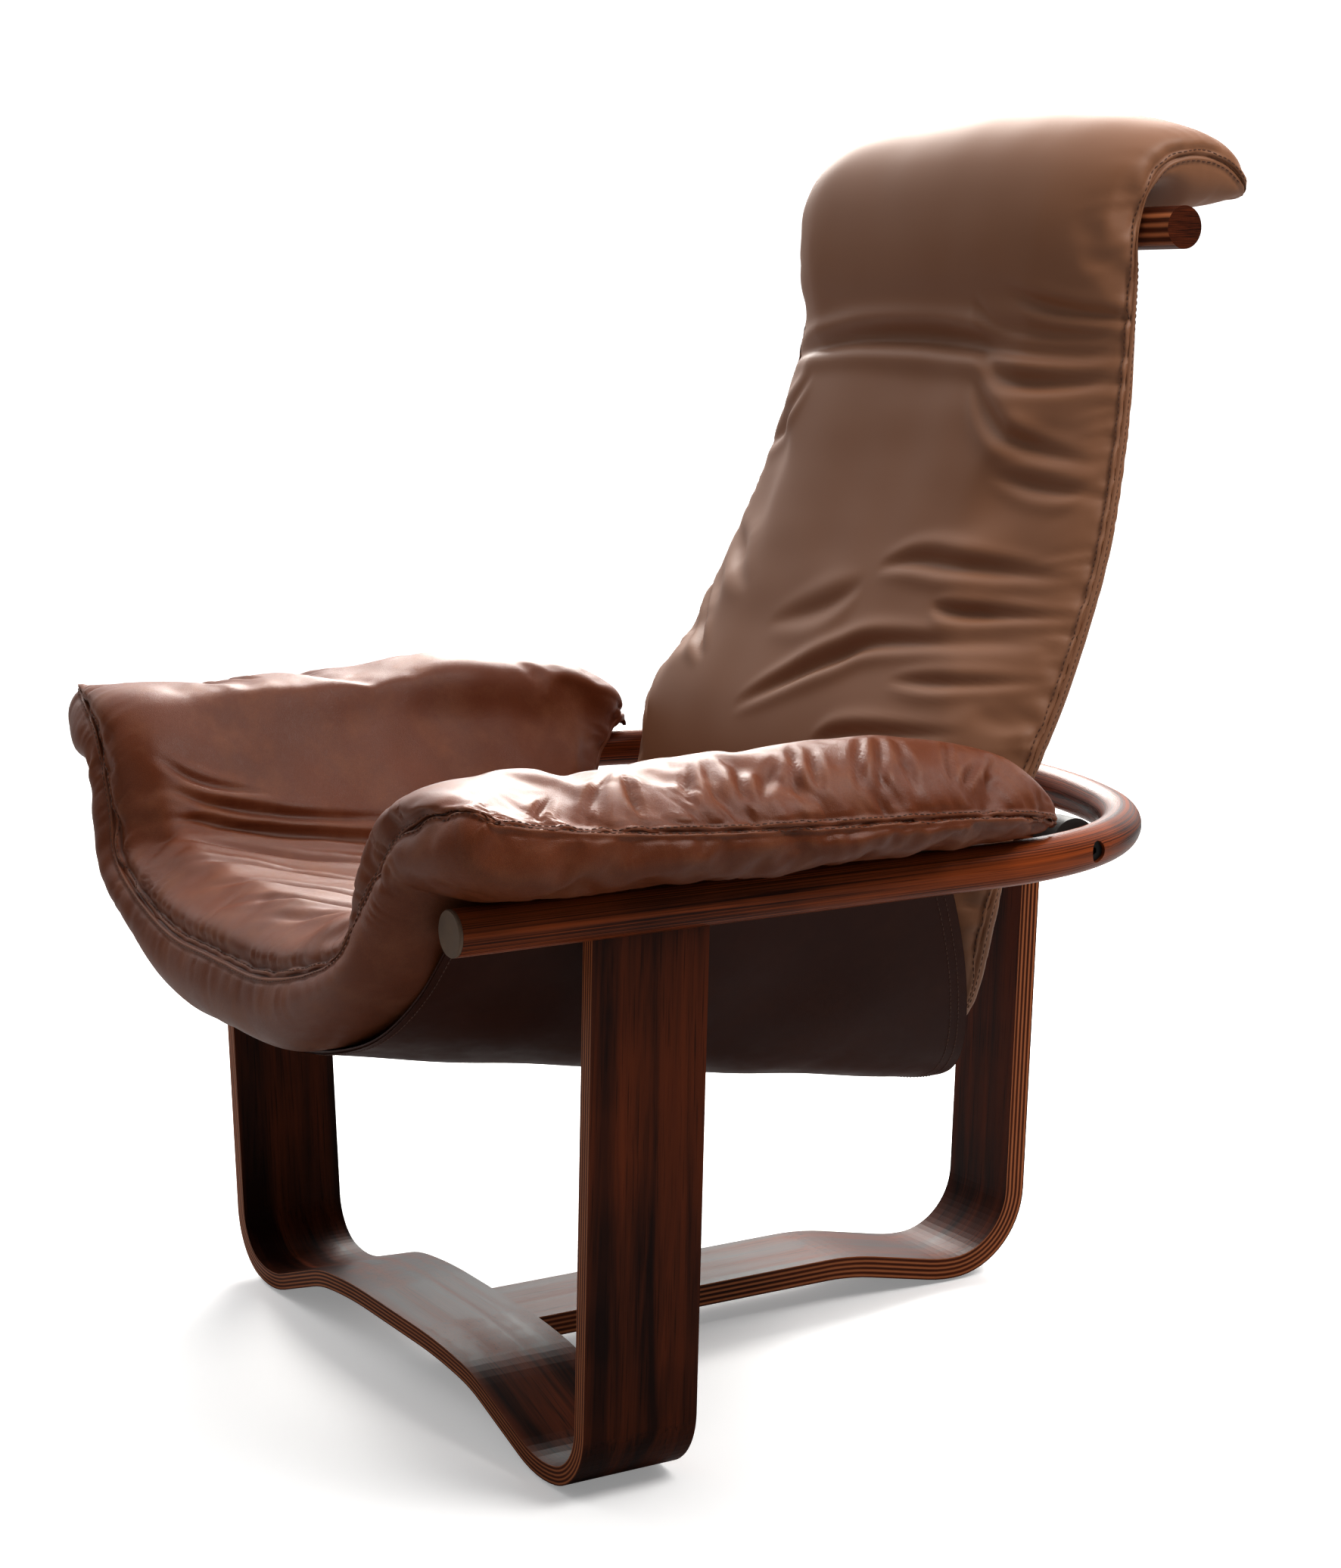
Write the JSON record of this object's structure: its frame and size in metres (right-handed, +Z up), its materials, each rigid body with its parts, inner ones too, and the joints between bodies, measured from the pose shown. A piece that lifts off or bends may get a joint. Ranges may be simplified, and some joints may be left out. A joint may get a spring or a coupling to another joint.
{
  "type": "recliner armchair",
  "caption": "High-back reclining armchair: bent laminated legs under a round arm hoop, a leather sling with a winged seat cushion and a tall tilting back cushion.",
  "frame": {"origin": "on the floor, under the middle of the chair's length and width", "axes": "+Z up, the chair faces -Y, X runs across it"},
  "size_m": [0.856, 0.9065, 1.071],
  "materials": {
    "dark_wood": "satin red-brown stain over beech plies",
    "rod_wood": "satin lacquered bentwood",
    "end_cap": "matt grey-brown",
    "cushion_leather": "soft grained, slightly worn",
    "sling_leather": "firm smooth saddle leather",
    "black_steel": "satin black",
    "zinc_steel": "zinc plated",
    "black_plastic": "matt",
    "webbing": "woven elastic webbing"
  },
  "bodies": {
    "frame": {"front_leg": "dark_wood", "rear_leg": "dark_wood", "leg_joint_bolts": "black_steel", "leg_joint_inserts": "zinc_steel", "floor_glides": "black_plastic", "arm_hoop": "rod_wood", "hoop_end_cap_left": "end_cap", "hoop_end_cap_right": "end_cap", "front_leg_screws": "zinc_steel", "rear_leg_screws": "zinc_steel", "hem_rod_left": "zinc_steel", "hem_rod_right": "zinc_steel", "hem_clips_left": "black_steel", "hem_clips_right": "black_steel", "sling": "sling_leather", "seat_cushion": "cushion_leather", "arm_bolster_left": "cushion_leather", "arm_bolster_right": "cushion_leather", "pivot_bolt_left": "black_steel", "pivot_bolt_right": "black_steel", "pivot_spacer_left": "black_plastic", "pivot_spacer_right": "black_plastic"},
    "back": {"lower_crossbar": "rod_wood", "head_crossbar": "rod_wood", "back_rib_left": "dark_wood", "back_rib_right": "dark_wood", "rib_bolts": "black_steel", "back_straps": "webbing", "back_cushion": "cushion_leather"}
  },
  "joints": [
    {"name": "back_recline", "type": "hinge", "parent": "frame", "child": "back", "pos_m": [0, 0.1915, 0.469], "axis": [-1, 0, 0], "range_deg": [0, 12]}
  ]
}
